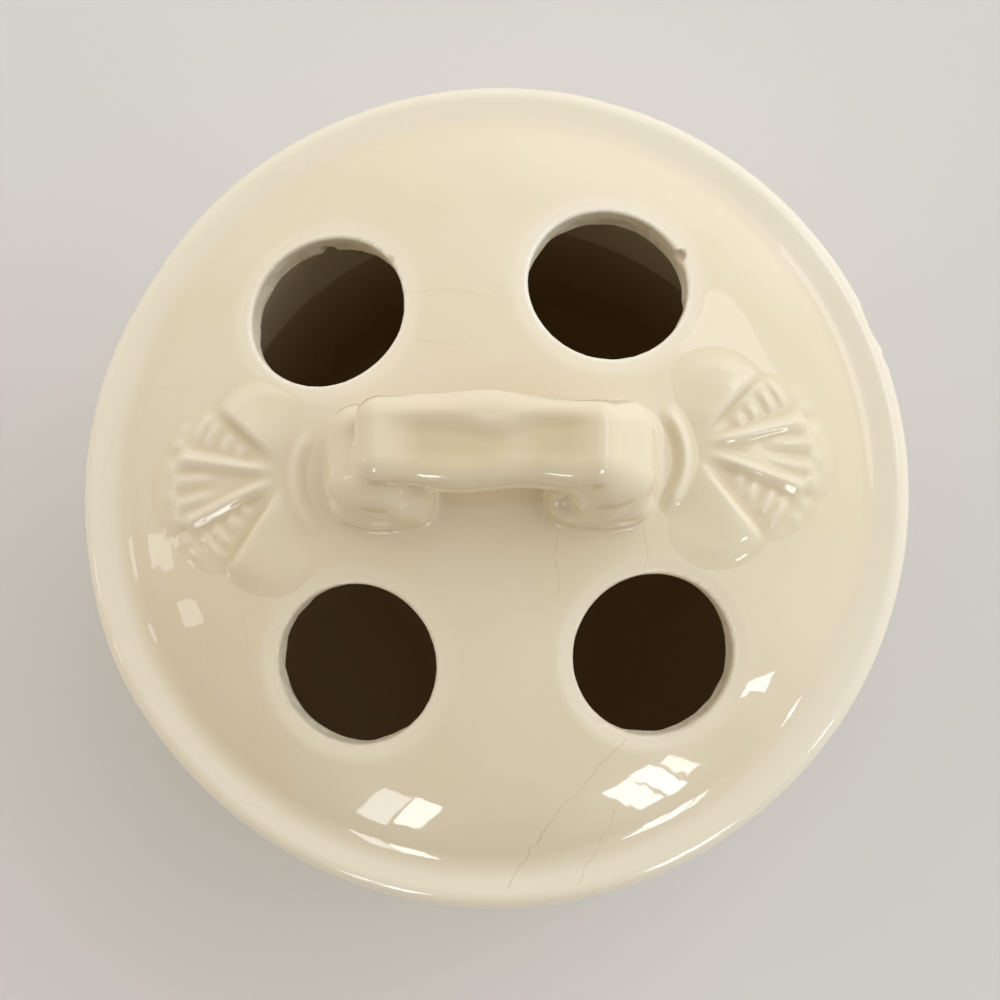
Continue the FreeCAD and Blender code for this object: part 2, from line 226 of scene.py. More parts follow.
def hole_gap(name, x, y, z):
    """How far a point is outside one hole's hand-cut wall, and how deep below the dome."""
    middle, axis, outward, side = HOLE_FRAMES[name]
    away = (x - middle[0], y - middle[1], z - middle[2])
    across = sum(p * k for p, k in zip(away, outward))
    along = sum(p * k for p, k in zip(away, side))
    depth = -sum(p * k for p, k in zip(away, axis))
    reach = np.hypot(across, along)
    gap = reach - HOLE_RADIUS
    near = np.abs(gap) < LIP_WIDTH
    ways = across[near] / reach[near], along[near] / reach[near]
    seed = sum(map(ord, name))
    on_wall = RAGGED_TURN * ways[0], RAGGED_TURN * ways[1], depth[near]
    ragged = RAGGED * waves(on_wall, RAGGED_LENGTH, seed + 1) * smooth_step(*RAGGED_DEPTHS, depth[near])
    gap[near] -= WANDER * waves(ways, WANDER_LENGTH, seed) + ragged
    return gap, depth


def lid_top(x, y):
    """Height of the lid's upper face, with the swell of the clay and the soft lips of the holes."""
    height = dome_height(np.hypot(x, y))
    for sizes in DOME_SWELLS:
        height = height + swell((x, y), sizes)
    for name, (_, _, softness) in HOLES.items():
        gap, _ = hole_gap(name, x, y, height)
        height = height - softness * (1 - smooth_step(0, LIP_WIDTH, gap))
    return height


def rim_radius(x, y):
    """The lid's uneven outer radius."""
    turn = np.arctan2(y, x)
    radius = LID_RADIUS + swell((np.cos(turn), np.sin(turn)), RIM_SWELL)
    for rise, angle, spread in RIM_BUMPS:
        radius = radius + rise * bump(np.degrees(turn) % 360, angle, spread)
    return radius


def chip_field(x, y, z):
    """Distance to the nearest chip, below zero inside it."""
    nearest = np.full(np.shape(x), LID_RADIUS)
    rough = swell((x, y, z), CHIP_SWELL)
    for angle, depth, length, width, height in CHIPS:
        turn = math.radians(angle)
        out = x * math.cos(turn) + y * math.sin(turn) - LID_RADIUS
        along = y * math.cos(turn) - x * math.sin(turn)
        up = z - LIP_THICKNESS + depth
        reach = np.sqrt((along / length) ** 2 + (out / width) ** 2 + (up / height) ** 2)
        nearest = np.minimum(nearest, (reach - 1) * width + rough)
    return nearest


def nick_field(x, y, z):
    """Distance to the nearest nick, below zero inside it."""
    nearest = np.full(np.shape(x), LID_RADIUS)
    for name, angle, depth, radius in NICKS:
        middle, axis, _, _ = HOLE_FRAMES[name]
        turn = math.radians(angle)
        way = np.array([math.cos(turn), math.sin(turn), 0])
        way = way - way.dot(axis) * axis
        place = middle + HOLE_RADIUS * way / np.linalg.norm(way) - depth * axis
        away = np.sqrt((x - place[0]) ** 2 + (y - place[1]) ** 2 + (z - place[2]) ** 2)
        nearest = np.minimum(nearest, away - radius)
    return nearest


def lid_field(x, y, z):
    """The lid: a dome with a rounded rim, hollow below, pierced, nicked and chipped."""
    r = np.hypot(x, y)
    top = (z - lid_top(x, y)) * dome_lean(r)
    field = round_max(top, r - rim_radius(x, y), RIM_ROUND)
    hollow = np.minimum(UNDER_RADIUS - np.sqrt(r ** 2 + (z - DOME_CENTRE) ** 2), COLLAR_RADIUS - r)
    field = round_max(field, np.maximum(-z, hollow), RIM_EASE)
    for name in HOLES:
        gap, _ = hole_gap(name, x, y, z)
        field = round_max(field, -gap, HOLE_ROUND)
    field = round_max(field, -nick_field(x, y, z), NICK_EASE)
    return np.maximum(field, -chip_field(x, y, z))


# Handle: sizes about its own middle, to the right, to the back, and upward from the dome's crown.
HANDLE_MIDDLE = (0.45, 1.9)
HANDLE_DEPTH = 2.5
HANDLE_SWELL = (0.10, 9.0, 31)
CRUMPLE = (0.09, 2.6, 33)
CRUMPLE_HEIGHTS = (7.5, 4.0)
# Fillet to the dome: width, gap above the dome, and how far past it the piece ends.
SKIRT, SKIRT_GAP, SKIRT_EDGE = 1.7, 0.002, 0.05
# Bar: half sizes, place and rounding.
BAR_HALF = (14.9, 5.1, 3.1)
BAR_BACK = 0.5
BAR_ROUND = 2.9
BAR_MIDDLE = 9.3
# The bar's back edge swells near the middle and draws in to the right, and its front edge is rippled.
REAR_SPAN = (-1.0, 3.5)
REAR_SWELL, REAR_SWELL_PLACE, REAR_SWELL_WIDTH = 0.55, -0.6, 4.2
REAR_DRAW, REAR_DRAW_SPAN = 0.7, (0.0, 13.0)
RIPPLE, RIPPLE_PITCH = 0.3, 2.3
# Dish in the bar: depth, where each side of it begins and is full, and the heights where it fades in.
DISH_DEPTH = 0.75
DISH_LEFT, DISH_RIGHT, DISH_FRONT = (-12.5, -7.0), (13.5, 8.0), (-5.4, -1.0)
DISH_HEIGHTS = (-1.0, 2.2)
# Rolled border behind the dish: its place, slopes to either side, a notch, and a flare to the right.
BORDER_PLACE = 2.5
BORDER_BEHIND, BORDER_BEFORE = 1.1, 1.6
BORDER_NOTCH, BORDER_NOTCH_PLACE, BORDER_NOTCH_WIDTH = 1.1, 1.0, 3.0
BORDER_FLARE, BORDER_FLARE_SPAN = 0.4, (2.0, 8.0)
# Bead under the bar's front edge: place, half width, middle and half length, ripple and fillet.
LEDGE_BACK, LEDGE_UP, LEDGE_HALF = -4.1, 7.7, 0.75
LEDGE_MIDDLE, LEDGE_REACH = 1.5, 8.5
LEDGE_RIPPLE, LEDGE_FILLET = 0.25, 0.35
# Legs: middle, half sizes and rounding of the upright strap, and how much it leans out towards its foot.
LEG_MIDDLE = (15.7, 0.0, 3.0)
LEG_HALF = (3.5, 5.9, 7.8)
LEG_ROUND = 3.3
LEG_LEAN = 0.10
# How each end of the bar runs into its leg: side, fillet, and how far the leg's top lies lower.
LEG_ENDS = ((-1, 1.0, 3.4), (1, 3.0, 2.2))
# Lobes: distance from the handle's middle, place to the back and upward, half sizes, squareness.
SHIN_LOBE = (12.7, -2.6, 2.6, (4.6, 4.8, 6.4), 2.3)
FOOT_LOBE = (12.7, -1.3, -0.8, (6.2, 6.7, 4.4), 2.4)
ROLL_LOBE = (13.2, -5.5, 0.0, (5.7, 2.6, 2.7), 2.3)
TOE_LOBE = (9.6, -4.9, 0.6, (3.0, 2.9, 3.6), 2.2)
TOE_HOLLOW = (8.3, -6.6, 4.0, (1.7, 1.5, 1.5), 2.0)
TOE_FILLET, SHIN_FILLET, ROLL_FILLET, FOOT_FILLET, HOLLOW_EASE = 0.7, 1.6, 0.5, 1.5, 0.8


def bar_dish(u, v):
    """Share of the dish's depth at a place on the bar, up to the rolled border at the back."""
    span = smooth_step(*DISH_LEFT, u) * smooth_step(*DISH_RIGHT, u)
    border = BORDER_PLACE - BORDER_NOTCH * bump(u, BORDER_NOTCH_PLACE, BORDER_NOTCH_WIDTH)
    border = border + BORDER_FLARE * smooth_step(*BORDER_FLARE_SPAN, u)
    inside = smooth_step(border + BORDER_BEHIND, border - BORDER_BEFORE, v)
    return span * inside * smooth_step(*DISH_FRONT, v)


def bar_field(u, v, w):
    """The bar: a wavy strap, dished on top, with a bead under its front edge."""
    rear = smooth_step(*REAR_SPAN, v)
    ripple = np.sin(u / RIPPLE_PITCH)
    back_wave = REAR_SWELL * bump(u, REAR_SWELL_PLACE, REAR_SWELL_WIDTH)
    back_wave = back_wave - REAR_DRAW * smooth_step(*REAR_DRAW_SPAN, u)
    wave = rear * back_wave + (1 - rear) * RIPPLE * ripple
    sunk = DISH_DEPTH * bar_dish(u, v) * smooth_step(*DISH_HEIGHTS, w - BAR_MIDDLE)
    bar = box_field(u, v - wave - BAR_BACK, w - BAR_MIDDLE + sunk, BAR_HALF, BAR_ROUND)
    ledge = np.hypot(v - LEDGE_BACK - LEDGE_RIPPLE * ripple, w - LEDGE_UP) - LEDGE_HALF
    ledge = np.maximum(ledge, np.abs(u - LEDGE_MIDDLE) - LEDGE_REACH)
    return round_min(bar, ledge, LEDGE_FILLET)


def leg_field(s, v, w, drop):
    """One upright strap, leaning out towards its foot."""
    out, back, up = LEG_MIDDLE
    leg_up = w - up + drop
    leg_out = s - out + LEG_LEAN * leg_up
    return box_field(leg_out, v - back, leg_up, LEG_HALF, LEG_ROUND)


def foot_field(s, v, w):
    """One foot: a broad lump with a toe, a shin and a roll along its front."""
    foot = round_min(lobe_field(s, v, w, FOOT_LOBE), lobe_field(s, v, w, TOE_LOBE), TOE_FILLET)
    foot = round_min(foot, lobe_field(s, v, w, SHIN_LOBE), SHIN_FILLET)
    return round_min(foot, lobe_field(s, v, w, ROLL_LOBE), ROLL_FILLET)


def handle_field(x, y, z):
    """The strap: a bar on two legs that run out into feet with toes."""
    u, v, w = x - HANDLE_MIDDLE[0], y - HANDLE_MIDDLE[1], z - LID_RISE
    field = bar_field(u, v, w)
    for side, crease, drop in LEG_ENDS:
        s = u * side
        field = round_min(field, leg_field(s, v, w, drop), crease)
        field = round_min(field, foot_field(s, v, w), FOOT_FILLET)
    field = round_max(field, -lobe_field(u, v, w, TOE_HOLLOW), HOLLOW_EASE)
    crumpled = swell((u, v, w), CRUMPLE) * smooth_step(*CRUMPLE_HEIGHTS, w)
    return field + swell((u, v, w), HANDLE_SWELL) + crumpled


def handle_piece(x, y, z):
    """The handle with its glazed fillet, down to just below the lid's face."""
    dome = (z - lid_top(x, y)) * dome_lean(np.hypot(x, y))
    handle = handle_field(x, y, z)
    joined = soft_min(handle, dome + SKIRT_GAP, SKIRT)
    return np.maximum(np.maximum(joined, -dome - HANDLE_DEPTH), handle - SKIRT - SKIRT_EDGE)


# Meshes.

def gradient(field, points, reach=0.02):
    """Way out of a field at each point, by differences."""
    slope = np.empty_like(points)
    for axis in range(3):
        shift = np.zeros(3)
        shift[axis] = reach
        ahead, behind = points + shift, points - shift
        slope[:, axis] = (field(*ahead.T) - field(*behind.T)) / (2 * reach)
    return slope


def net_points(values, inside):
    """Mean place of the surface in each cell of a grid that it crosses, and each cell's number or -1."""
    cells = tuple(n - 1 for n in values.shape)
    total = np.zeros(cells + (3,))
    count = np.zeros(cells)
    for axis in range(3):
        for start in np.ndindex(2, 2, 2):
            if start[axis]:
                continue
            stop = tuple(p + (n == axis) for n, p in enumerate(start))
            cut = [tuple(slice(p, p + n) for p, n in zip(corner, cells)) for corner in (start, stop)]
            crossed = inside[cut[0]] != inside[cut[1]]
            a, b = values[cut[0]][crossed], values[cut[1]][crossed]
            place = np.tile(np.array(start, float), (len(a), 1))
            place[:, axis] += a / (a - b)
            total[crossed] += place
            count[crossed] += 1
    used = count > 0
    number = np.full(cells, -1)
    number[used] = np.arange(used.sum())
    return np.argwhere(used) + total[used] / count[used][:, None], number


def net_quads(inside, number):
    """A face between the four cells round each edge of the grid that the surface crosses."""
    cells = number.shape
    quads = []
    for axis in range(3):
        b, c = (axis + 1) % 3, (axis + 2) % 3
        places = np.argwhere(np.diff(inside, axis=axis))
        places = places[(places[:, b] > 0) & (places[:, c] > 0)]
        places = places[(places[:, b] < cells[b]) & (places[:, c] < cells[c])]
        ring = []
        for back_b, back_c in ((1, 1), (0, 1), (0, 0), (1, 0)):
            cell = places.copy()
            cell[:, b] -= back_b
            cell[:, c] -= back_c
            ring.append(number[tuple(cell.T)])
        ring = np.stack(ring, 1)
        flip = ~inside[tuple(places.T)]
        ring[flip] = ring[flip][:, ::-1]
        quads.append(ring)
    return np.concatenate(quads)


def surface_net(field, low, high, step, settle=3, flattest=0.05):
    """Vertices, quads and normals of the surface where a field is zero, on a grid of cells."""
    axes = [np.arange(a, b + step, step) for a, b in zip(low, high)]
    values = field(*np.meshgrid(*axes, indexing="ij"))
    inside = values < 0
    places, number = net_points(values, inside)
    points = places * step + np.array(low)
    for _ in range(settle):
        slope = gradient(field, points)
        size = np.maximum((slope ** 2).sum(1), flattest)
        move = np.clip(field(*points.T) / size, -step / 2, step / 2)
        points = points - move[:, None] * slope
    normals = gradient(field, points)
    normals /= np.maximum(np.linalg.norm(normals, axis=1), TINY)[:, None]
    return points, net_quads(inside, number), normals


def make_mesh(name, points, faces, normals=None, **masks):
    """A smooth piece from points in millimetres above the seat, with a number per point for each mask."""
    mesh = bpy.data.meshes.new(name)
    placed = (points + np.array([0, 0, SEAT_HEIGHT])) * MM
    mesh.from_pydata(placed.tolist(), [], faces.tolist())
    mesh.shade_smooth()
    if normals is not None:
        mesh.normals_split_custom_set_from_vertices(normals.tolist())
    for label, numbers in masks.items():
        layer = mesh.attributes.new(label, "FLOAT", "POINT")
        layer.data.foreach_set("value", np.asarray(numbers, np.float32))
    piece = bpy.data.objects.new(name, mesh)
    bpy.context.collection.objects.link(piece)
    return piece


def curve_masks(field, points, normals, reach=0.8, spread=0.4):
    """Where a surface is hollow and where it stands out, from how a field changes on either side of it."""
    out = field(*(points + reach * normals).T)
    deep = field(*(points - reach * normals).T)
    hollow = np.clip((reach - out) / spread, 0, 1)
    edge = np.clip((reach + deep) / spread, 0, 1)
    return {"hollow": hollow, "edge": edge}


# Grids of the netted pieces: step, room round the lid, and corners of the handle's box.
LID_STEP = 0.40
HANDLE_STEP = 0.24
LID_ROOM, LID_HEADROOM = 1.5, 1.0
HANDLE_BELOW, HANDLE_ABOVE = 4.5, 13.5
HANDLE_LOW = (-22.5, -9.5, LID_RISE - HANDLE_BELOW)
HANDLE_HIGH = (23.0, 13.0, LID_RISE + HANDLE_ABOVE)

# Lid masks: distances past the lip, from a hole's wall and below the dome where each one fades.
BRIM_SPAN = (-2.5, 0.5)
WALL_GAPS, WALL_DEPTHS = (0.15, 0.6), (0.5, 1.1)
# Painted halo, a painted highlight round each hole: share, distance from the wall, width, and depth where
# it ends.
HALO_SHARE, HALO_GAP, HALO_WIDTH, HALO_DEPTH = 0.6, 1.2, 1.1, 1.0
# Painted glint, a painted highlight on each hole's lip: distance from the wall, width, and depths where it
# fades.
GLINT_GAP, GLINT_WIDTH, GLINT_DEPTHS = 0.1, 0.3, (0.9, 0.4)
UNDER_DEPTHS = (0.6, 1.4)
BROKEN_GAPS = (0.02, 0.15)


def lid_masks(points):
    """Where the lid is bare cut clay or chipped, with painted highlights: a pale ring round its openings
    and along the brim, and a bright glint at their lips.
    """
    x, y, z = points.T
    r = np.hypot(x, y)
    wall = np.zeros(len(points))
    # painted highlight: the brim made paler where light falls on it
    painted_halo = smooth_step(*BRIM_SPAN, r - LIP_RADIUS) * (z > RIM_EASE)
    lip_glint = np.zeros(len(points))
    for name in HOLES:
        gap, depth = hole_gap(name, x, y, z)
        near = 1 - smooth_step(*WALL_GAPS, np.abs(gap))
        wall = np.maximum(wall, near * smooth_step(*WALL_DEPTHS, depth))
        # painted highlight: a pale ring round each hole
        painted_halo = np.maximum(painted_halo, HALO_SHARE * bump(gap, HALO_GAP, HALO_WIDTH) * (depth < HALO_DEPTH))
        lip_glint = np.maximum(lip_glint, bump(gap, GLINT_GAP, GLINT_WIDTH) * smooth_step(*GLINT_DEPTHS, depth))
    under = smooth_step(*UNDER_DEPTHS, lid_top(x, y) - z) * (r < LID_RADIUS - RIM_ROUND)
    broken = np.minimum(chip_field(x, y, z), nick_field(x, y, z))
    chip = 1 - smooth_step(*BROKEN_GAPS, np.abs(broken))
    return {"wall": np.maximum(wall, under), "painted_halo": painted_halo, "lip_glint": lip_glint, "chip": chip}


def make_lid():
    reach = LID_RADIUS + LID_ROOM
    low, high = (-reach, -reach, -LID_ROOM), (reach, reach, LID_RISE + LID_HEADROOM)
    points, quads, normals = surface_net(lid_field, low, high, LID_STEP)
    masks = {**lid_masks(points), **curve_masks(lid_field, points, normals)}
    return make_mesh("domed_cover", points, quads, normals, **masks)


# Glaze pooled in the dish, with painted shade there: how level the face is there, its share, and the thin
# place in it.
POOL_SHADE_LEVELS, POOL_SHADE_SHARE = (0.6, 0.9), 0.95
THIN_SHARE, THIN_PLACE, THIN_WIDTH = 0.5, 3.3, 1.8
CLEAR_HEIGHTS = (0.1, 1.2)


def handle_masks(points, normals):
    """Hollows and edges of the handle, with the glaze that pools in the dish; the pooled tone also paints
    shade there.
    """
    masks = curve_masks(handle_piece, points, normals)
    x, y, z = points.T
    u, v = x - HANDLE_MIDDLE[0], y - HANDLE_MIDDLE[1]
    pool_and_shade = bar_dish(u, v) * smooth_step(*POOL_SHADE_LEVELS, normals[:, 2]) * (z > LID_RISE + BAR_MIDDLE)
    pool_and_shade = pool_and_shade * (POOL_SHADE_SHARE - THIN_SHARE * bump(u, THIN_PLACE, THIN_WIDTH))
    clear = smooth_step(*CLEAR_HEIGHTS, z - lid_top(x, y))
    return {"hollow": np.maximum(masks["hollow"] * clear, pool_and_shade), "edge": masks["edge"] * clear}


def make_handle():
    points, quads, normals = surface_net(handle_piece, HANDLE_LOW, HANDLE_HIGH, HANDLE_STEP)
    return make_mesh("curled_handle", points, quads, normals, **handle_masks(points, normals))


# Shells: hub on the dome, the way that the fan points, and which side of it is to the front.
SHELLS = {
    "left_shell": (-23.8, 0.8, 186.5, 1),
    "right_shell": (23.9, 3.6, -1.0, -1),
}
SHELL_STEP = 0.15
SHELL_ALONG, SHELL_ACROSS = (-6.0, 20.0), (-16.5, 16.5)
SHELL_SWELL, SHELL_SWELL_LENGTH = 0.12, 6.0
SHELL_BLUR, SHELL_SINK, SHELL_THINNEST, SHELL_DEPTH = 6, 0.03, 0.002, 0.8
SHELL_HOLE_GAP = 0.8
# Pooled glaze with painted shade in the shells' recesses, and thin glaze with a painted highlight on their
# crests: blur and depth or height.
POOL_SHADE_BLUR, POOL_SHADE_DEPTH = 50, 0.2
CREST_BLUR, CREST_HEIGHT = 40, 0.4
# Fan: angles in degrees from the way that it points, more to the front, and reaches from the hub.
QUARTER = 90.0
FAN_EDGE, FAN_FADE = 104.0, (6.0, -54.0)
FAN_RISE, FAN_GROWTH, FAN_SPAN = 0.34, 0.22, (2.0, 9.0)
HUB_SPAN = (0.3, 5.0)
MARGIN_ANGLES = (-FAN_EDGE, -49.0, -17.0, 17.0, 49.0, FAN_EDGE)
MARGIN_REACH = (9.6, 12.4, 16.6, 16.8, 13.6, 10.8)
MARGIN_SLOPE = (1.0, -2.2)
SCALLOPS = (1.3, 0.9, 1.3, 0.9, 1.9)
SCALLOP_POWER = 0.8
# Panels beside the ribs and petals at the sides: where they begin, depth or rise, and reach.
PANEL_ANGLES, PANEL_DEPTH, PANEL_SPAN = (15.0, 19.0), 0.30, (2.0, 6.0)
PETAL_ANGLE, PETAL_STEP, PETAL_SPAN = 48.5, (-1.5, 2.5), (1.0, 7.0)
PETAL_RISE, PETAL_CREST, PETAL_FALL = 0.26, 0.42, 24.0
# Ribs, long and short: angles, rise, half width at the hub and its growth, where they begin and end.
RIBS = [
    ((-17.0, 17.0), 0.80, 0.40, 0.045, (1.0, 6.0), (15.4, 13.8)),
    ((-5.0, 6.5), 0.42, 0.25, 0.035, (8.5, 12.0), (16.2, 14.8)),
]
# Ladder bars: half width, then reach from the hub, angle, half length and rise of each.
LADDER_HALF = 0.52
LADDER = [
    (7.1, 31.0, 0.65, 0.26),
    (9.1, 32.5, 1.0, 0.36),
    (11.4, 33.0, 1.45, 0.46),
    (13.1, 34.0, 1.8, 0.44),
]
# Beads along the margin: reach from the hub, angles, half width and rise.
BEAD_REACH = 15.6
BEAD_ANGLES = (-41.0, -31.0, -23.0, -11.0, 1.0, 12.0, 23.0, 31.0, 41.0)
BEAD_HALF, BEAD_RISE = 0.75, 0.34
# Band round the foot of the handle: radius, place, half width, sweep in degrees, and rise.
BAND_RADIUS, BAND_INSET, BAND_FORWARD, BAND_HALF = 9.0, 0.4, 1.4, 0.75
BAND_SWEEP, BAND_FADE = 44.0, (4.0, -14.0)
BAND_RISE = {"left_shell": 0.35, "right_shell": 0.8}


def fan_margin(turn):
    """Reach of the scalloped margin at each angle."""
    reach = np.interp(turn, MARGIN_ANGLES, MARGIN_REACH)
    for start, stop, scallop in zip(MARGIN_ANGLES, MARGIN_ANGLES[1:], SCALLOPS):
        share = np.clip((turn - start) / (stop - start), 0, 1)
        reach = reach + scallop * np.sin(math.pi * share) ** SCALLOP_POWER
    return reach


def beside(rho, turn, angle):
    """How far a place at a reach and turn from the hub is to the side of a ray at an angle."""
    return rho * np.sin(np.radians(np.clip(turn - angle, -QUARTER, QUARTER)))


def fan_relief(u, v):
    """Height of a shell above the dome: ribs, ladder bars and beads, with a petal at each side."""
    rho, turn = np.hypot(u, v), np.degrees(np.arctan2(v, u))
    side = np.abs(turn)
    inside = smooth_step(*MARGIN_SLOPE, rho - fan_margin(np.clip(turn, -FAN_EDGE, FAN_EDGE)))
    inside = inside * smooth_step(*FAN_FADE, side - FAN_EDGE) * smooth_step(*HUB_SPAN, rho)
    petal = smooth_step(*PETAL_STEP, side - PETAL_ANGLE)
    panel = smooth_step(*PANEL_ANGLES, side) * (1 - petal)
    height = FAN_RISE + FAN_GROWTH * smooth_step(*FAN_SPAN, rho)
    height = height - PANEL_DEPTH * panel * smooth_step(*PANEL_SPAN, rho)
    crest = PETAL_RISE + PETAL_CREST * np.exp((PETAL_ANGLE - side) / PETAL_FALL)
    height = height + petal * smooth_step(*PETAL_SPAN, rho) * crest
    for angles, rise, half, growth, begins, ends in RIBS:
        length = smooth_step(*begins, rho) * smooth_step(*ends, rho)
        for angle in angles:
            height = height + rise * length * bump(beside(rho, turn, angle), 0, half + growth * rho)
    for reach, angle, half, rise in LADDER:
        bar = bump(rho, reach, LADDER_HALF) * np.exp(-(beside(rho, side, angle) / half) ** 4)
        height = height + rise * bar * (1 - petal)
    for angle in np.radians(BEAD_ANGLES):
        away = np.hypot(u - BEAD_REACH * math.cos(angle), v - BEAD_REACH * math.sin(angle))
        height = height + BEAD_RISE * bump(away, 0, BEAD_HALF)
    return np.maximum(height * inside, 0)


def band_relief(u, v, rise):
    """Height of the raised band round the foot of the handle, behind the fan."""
    out, along = u + BAND_RADIUS, v - BAND_FORWARD
    rho, turn = np.hypot(out, along), np.degrees(np.arctan2(along, out))
    ends = smooth_step(*BAND_FADE, np.abs(turn) - BAND_SWEEP)
    return rise * bump(rho, BAND_RADIUS - BAND_INSET, BAND_HALF) * ends


def blurred(grid, times):
    """A grid of heights, smoothed."""
    for _ in range(times):
        for axis in (0, 1):
            grid = (np.roll(grid, 1, axis) + 2 * grid + np.roll(grid, -1, axis)) / 4
    return grid


def grid_quads(rows, columns):
    index = np.arange(rows * columns).reshape(rows, columns)
    return np.stack([index[:-1, :-1], index[1:, :-1], index[1:, 1:], index[:-1, 1:]], -1).reshape(-1, 4)


def close_below(points, quads, drop):
    """Give an open sheet a lower face and a wall round its edge."""
    used, quads = np.unique(quads, return_inverse=True)
    points, quads = points[used], quads.reshape(-1, 4)
    count = len(points)
    edges = np.concatenate([quads[:, [k, (k + 1) % 4]] for k in range(4)])
    keys = edges.min(1) * count + edges.max(1)
    _, first, times = np.unique(keys, return_index=True, return_counts=True)
    border = edges[first[times == 1]]
    wall = np.stack([border[:, 1], border[:, 0], border[:, 0] + count, border[:, 1] + count], 1)
    lower = points - np.array([0, 0, drop])
    return np.concatenate([points, lower]), np.concatenate([quads, quads[:, ::-1] + count, wall]), used


def make_shell(name):
    """One moulded shell, laid on the dome."""
    hub_x, hub_y, heading, front = SHELLS[name]
    turn = math.radians(heading)
    along = np.arange(*SHELL_ALONG, SHELL_STEP)
    across = np.arange(*SHELL_ACROSS, SHELL_STEP)
    u, v = np.meshgrid(along, across, indexing="ij")
    relief = fan_relief(u, v * front) + band_relief(u, v * front, BAND_RISE[name])
    uneven = 1 + SHELL_SWELL * waves((u, v), SHELL_SWELL_LENGTH, len(name))
    relief = blurred(relief * uneven, SHELL_BLUR)
    x = hub_x + u * math.cos(turn) - v * math.sin(turn)
    y = hub_y + u * math.sin(turn) + v * math.cos(turn)
    for hole in HOLES:
        gap, _ = hole_gap(hole, x, y, dome_height(np.hypot(x, y)))
        relief = relief * smooth_step(SHELL_HOLE_GAP, LIP_WIDTH, gap)
    # pooled glaze with painted shade in the recesses
    hollow = np.clip((blurred(relief, POOL_SHADE_BLUR) - relief) / POOL_SHADE_DEPTH, 0, 1)
    # thin glaze with a painted highlight on the crests
    edge = np.clip((relief - blurred(relief, CREST_BLUR)) / CREST_HEIGHT, 0, 1)
    z = lid_top(x, y) + relief - SHELL_SINK * smooth_step(SHELL_SINK, 0, relief)
    points = np.stack([x, y, z], -1).reshape(-1, 3)
    quads = grid_quads(*u.shape)
    shown = (relief.reshape(-1)[quads] > SHELL_THINNEST).any(1)
    points, quads, used = close_below(points, quads[shown], SHELL_DEPTH)
    masks = {"hollow": np.tile(hollow.reshape(-1)[used], 2), "edge": np.tile(edge.reshape(-1)[used], 2)}
    return make_mesh(name, points, quads, **masks)


# Turned pieces: length and seed of their slow waver, and how near an outline comes to the axis.
TURNED_LENGTH, TURNED_SEED = 40.0, 12
AXIS_GAP = 0.01


def lathe(name, outline, wobble, closed=False, turns=192, **masks):
    """Turn an outline of (radius, height) about the upright axis, a little uneven."""
    outline = np.array(outline)
    angle = np.linspace(0, 2 * math.pi, turns, endpoint=False)
    r, a = np.meshgrid(outline[:, 0], angle, indexing="ij")
    z, _ = np.meshgrid(outline[:, 1], angle, indexing="ij")
    x, y = r * np.cos(a), r * np.sin(a)
    uneven = 1 + wobble * waves((x, y, z), TURNED_LENGTH, TURNED_SEED)
    points = np.stack([x * uneven, y * uneven, z], -1).reshape(-1, 3)
    rows = len(outline)
    index = np.arange(rows * turns).reshape(rows, turns)
    index = np.concatenate([index, index[:, :1]], 1)
    below = np.concatenate([index[1:], index[:1]]) if closed else index[1:]
    above = index[:len(below)]
    quads = np.stack([above[:, :-1], above[:, 1:], below[:, 1:], below[:, :-1]], -1).reshape(-1, 4)
    per_point = {label: np.repeat(numbers, turns) for label, numbers in masks.items()}
    return make_mesh(name, points, quads, **per_point)


def arc(centre, radius, start, stop, steps):
    """Points on an arc in the outline, angles in degrees."""
    angles = np.radians(np.linspace(start, stop, steps))
    return [(centre[0] + radius * math.cos(t), centre[1] + radius * math.sin(t)) for t in angles]


def bowed(start, stop, radius, steps):
    """Points on an outline's outward arc between two of its points."""
    (r0, z0), (r1, z1) = start, stop
    middle = ((r0 + r1) / 2, (z0 + z1) / 2)
    chord = math.hypot(r1 - r0, z1 - z0)
    inward = math.sqrt(radius ** 2 - chord ** 2 / 4) / chord
    centre = (middle[0] - (z1 - z0) * inward, middle[1] + (r1 - r0) * inward)
    first = math.degrees(math.atan2(z0 - centre[1], r0 - centre[0]))
    last = math.degrees(math.atan2(z1 - centre[1], r1 - centre[0]))
    return arc(centre, radius, first, last, steps)


# Jar: sizes of its outline, heights above the table.
SIDE_RADIUS = half_width("jar")
MOUTH_RADIUS, MOUTH_BORE, SIDE_BORE = 49.6, 44.2, 45.8
FOOT_RADIUS, FOOT_BORE, FOOT_HEIGHT, FOOT_RECESS, FOOT_ROUND = 40.0, 36.0, 3.0, 2.4, 0.8
FOOT_COVE = 1.0
HEEL_HEIGHT, FLOOR_TOP, MOUTH_ROUND = 20.0, 7.0, 1.3
FOOT_STEPS, HEEL_STEPS, WALL_STEPS, MOUTH_STEPS, CORNER_STEPS, FLOOR_STEPS = 5, 16, 30, 7, 14, 20
JAR_WOBBLE = 0.0025
# Tone of the jar: the inside darker towards the bottom, the bare foot ring, and glaze pooled above it.
DARKENING_TOP_SHARE, DARKENING_GROWTH, DARKENING_HEIGHTS = 0.35, 0.65, (84.0, 40.0)
BARE_MARGIN = 0.2
HEEL_POOL_WIDTH = 1.5


